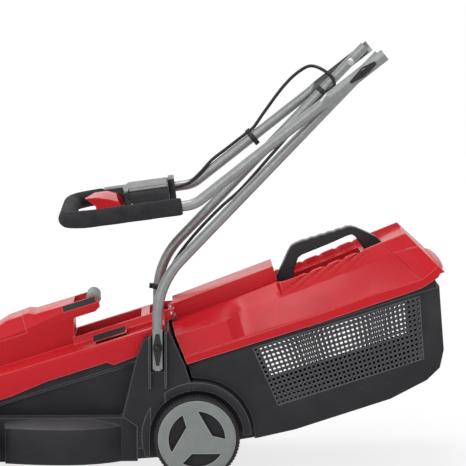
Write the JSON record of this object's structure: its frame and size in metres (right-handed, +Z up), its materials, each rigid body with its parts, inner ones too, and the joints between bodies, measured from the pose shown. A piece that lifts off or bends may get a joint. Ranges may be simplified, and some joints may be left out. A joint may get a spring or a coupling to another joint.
{
  "type": "push lawn mower",
  "caption": "Small cordless rotary lawn mower with a rear grass catcher, its upper handle folded forward over the deck.",
  "frame": {"origin": "on the ground, at the bottom centre of the box around the whole mower", "axes": "+X to the rear, the side of the catcher; +Y to the side of the switch box; +Z up"},
  "size_m": [0.972, 0.3806, 0.8203],
  "materials": {
    "red_plastic": "smooth moulded, satin gloss",
    "black_plastic": "fine moulded grain",
    "grey_plastic": "satin moulded",
    "dark_grey_plastic": "fine moulded grain",
    "cream_plastic": "satin moulded",
    "grey_paint": "powder coated tube",
    "steel": "zinc plated",
    "foam": "closed cell foam skin"
  },
  "bodies": {
    "chassis": {"deck_housing": "black_plastic", "motor_hood": "red_plastic", "carry_grip": "grey_plastic", "carry_pad_left": "dark_grey_plastic", "carry_pad_right": "dark_grey_plastic", "battery_terminal": "dark_grey_plastic", "motor_can": "steel", "controller_box": "dark_grey_plastic", "flap_rod": "steel", "flap_spring": "steel", "lower_tube_left": "grey_paint", "lower_tube_right": "grey_paint", "lower_bolt_left": "steel", "lower_bolt_right": "steel", "lower_saddle_left": "black_plastic", "lower_saddle_right": "black_plastic", "cable_lower": "black_plastic", "cable_clip_lower": "black_plastic", "cable_clip_pivot": "black_plastic"},
    "upper_handle": {"upper_tube": "grey_paint", "foam_grip": "foam", "fold_bolt_left": "steel", "fold_bolt_right": "steel", "fold_saddle_left": "black_plastic", "fold_saddle_right": "black_plastic", "switch_housing": "black_plastic", "switch_panel": "grey_plastic", "switch_clamp": "black_plastic", "micro_switch": "dark_grey_plastic", "cable_upper": "black_plastic", "cable_loop": "black_plastic", "cable_clip_upper": "black_plastic"},
    "fold_clamp_left": {"fold_lever_left": "black_plastic"},
    "fold_clamp_right": {"fold_lever_right": "black_plastic"},
    "lower_clamp_left": {"lower_lever_left": "black_plastic"},
    "lower_clamp_right": {"lower_lever_right": "black_plastic"},
    "rear_axle": {"axle_rear": "steel"},
    "front_axle": {"axle_front": "steel"},
    "rear_wheel_left": {"wheel_rear_left": "black_plastic", "hub_cap_rear_left": "grey_plastic"},
    "rear_wheel_right": {"wheel_rear_right": "black_plastic", "hub_cap_rear_right": "grey_plastic"},
    "front_wheel_left": {"wheel_front_left": "black_plastic", "hub_cap_front_left": "grey_plastic"},
    "front_wheel_right": {"wheel_front_right": "black_plastic", "hub_cap_front_right": "grey_plastic"},
    "rotor": {"motor_rotor": "steel", "blade_holder": "black_plastic", "blade": "steel", "blade_bolt": "steel"},
    "flap": {"rear_flap": "red_plastic"},
    "catcher": {"catcher_shell_left": "black_plastic", "catcher_shell_right": "black_plastic", "catcher_lid": "red_plastic", "catcher_handle": "black_plastic"},
    "cover": {"battery_cover": "red_plastic"},
    "battery": {"battery_pack": "black_plastic"},
    "key": {"safety_key": "red_plastic"},
    "trigger": {"switch_lever": "red_plastic"},
    "lock_off": {"lock_off_button": "cream_plastic"}
  },
  "joints": [
    {"name": "handle_fold", "type": "hinge", "parent": "chassis", "child": "upper_handle", "pos_m": [0.31961, 0, 0.78019], "axis": [0, 1, 0], "range_deg": [0, 172], "deforming": ["cable_loop"]},
    {"name": "fold_clamp_left_turn", "type": "hinge", "parent": "upper_handle", "child": "fold_clamp_left", "pos_m": [0.31961, -0.1833, 0.78019], "axis": [-0.6184, 0, 0.7859], "range_deg": [0, 90]},
    {"name": "fold_clamp_right_turn", "type": "hinge", "parent": "upper_handle", "child": "fold_clamp_right", "pos_m": [0.31961, 0.1833, 0.78019], "axis": [0.6184, 0, -0.7859], "range_deg": [0, 90]},
    {"name": "lower_clamp_left_turn", "type": "hinge", "parent": "chassis", "child": "lower_clamp_left", "pos_m": [-0.06799, -0.1723, 0.256], "axis": [-1, 0, 0], "range_deg": [0, 90]},
    {"name": "lower_clamp_right_turn", "type": "hinge", "parent": "chassis", "child": "lower_clamp_right", "pos_m": [-0.06799, 0.1723, 0.256], "axis": [1, 0, 0], "range_deg": [0, 90]},
    {"name": "rear_height", "type": "slide", "parent": "chassis", "child": "rear_axle", "axis": [0, 0, 1], "range_m": [-0.04, 0]},
    {"name": "front_height", "type": "slide", "parent": "chassis", "child": "front_axle", "axis": [0, 0, 1], "range_m": [-0.04, 0]},
    {"name": "rear_wheel_left_roll", "type": "hinge", "parent": "rear_axle", "child": "rear_wheel_left", "pos_m": [0.00601, -0.161, 0.0825], "axis": [0, 1, 0], "continuous": true},
    {"name": "rear_wheel_right_roll", "type": "hinge", "parent": "rear_axle", "child": "rear_wheel_right", "pos_m": [0.00601, 0.161, 0.0825], "axis": [0, 1, 0], "continuous": true},
    {"name": "front_wheel_left_roll", "type": "hinge", "parent": "front_axle", "child": "front_wheel_left", "pos_m": [-0.42599, -0.161, 0.06], "axis": [0, 1, 0], "continuous": true},
    {"name": "front_wheel_right_roll", "type": "hinge", "parent": "front_axle", "child": "front_wheel_right", "pos_m": [-0.42599, 0.161, 0.06], "axis": [0, 1, 0], "continuous": true},
    {"name": "blade_spin", "type": "hinge", "parent": "chassis", "child": "rotor", "pos_m": [-0.23599, 0, 0.038], "axis": [0, 0, 1], "continuous": true},
    {"name": "flap_lift", "type": "hinge", "parent": "chassis", "child": "flap", "pos_m": [-0.04215, 0, 0.30437], "axis": [0, -1, 0], "range_deg": [0, 55]},
    {"name": "catcher_lift_off", "type": "slide", "parent": "chassis", "child": "catcher", "axis": [0.9553, 0, 0.2957], "range_m": [0, 0.3]},
    {"name": "cover_open", "type": "hinge", "parent": "chassis", "child": "cover", "pos_m": [-0.41968, 0, 0.23723], "axis": [0, -1, 0], "range_deg": [0, 80]},
    {"name": "battery_release", "type": "slide", "parent": "chassis", "child": "battery", "axis": [-0.9553, 0, -0.2957], "range_m": [0, 0.008]},
    {"name": "key_pull", "type": "slide", "parent": "chassis", "child": "key", "axis": [-0.2957, 0, 0.9553], "range_m": [0, 0.012]},
    {"name": "switch_squeeze", "type": "hinge", "parent": "upper_handle", "child": "trigger", "pos_m": [-0.12252, 0.06, 0.51827], "axis": [0, -1, 0], "range_deg": [0, 8]},
    {"name": "lock_off_press", "type": "slide", "parent": "upper_handle", "child": "lock_off", "axis": [0, 1, 0], "range_m": [0, 0.004]}
  ]
}
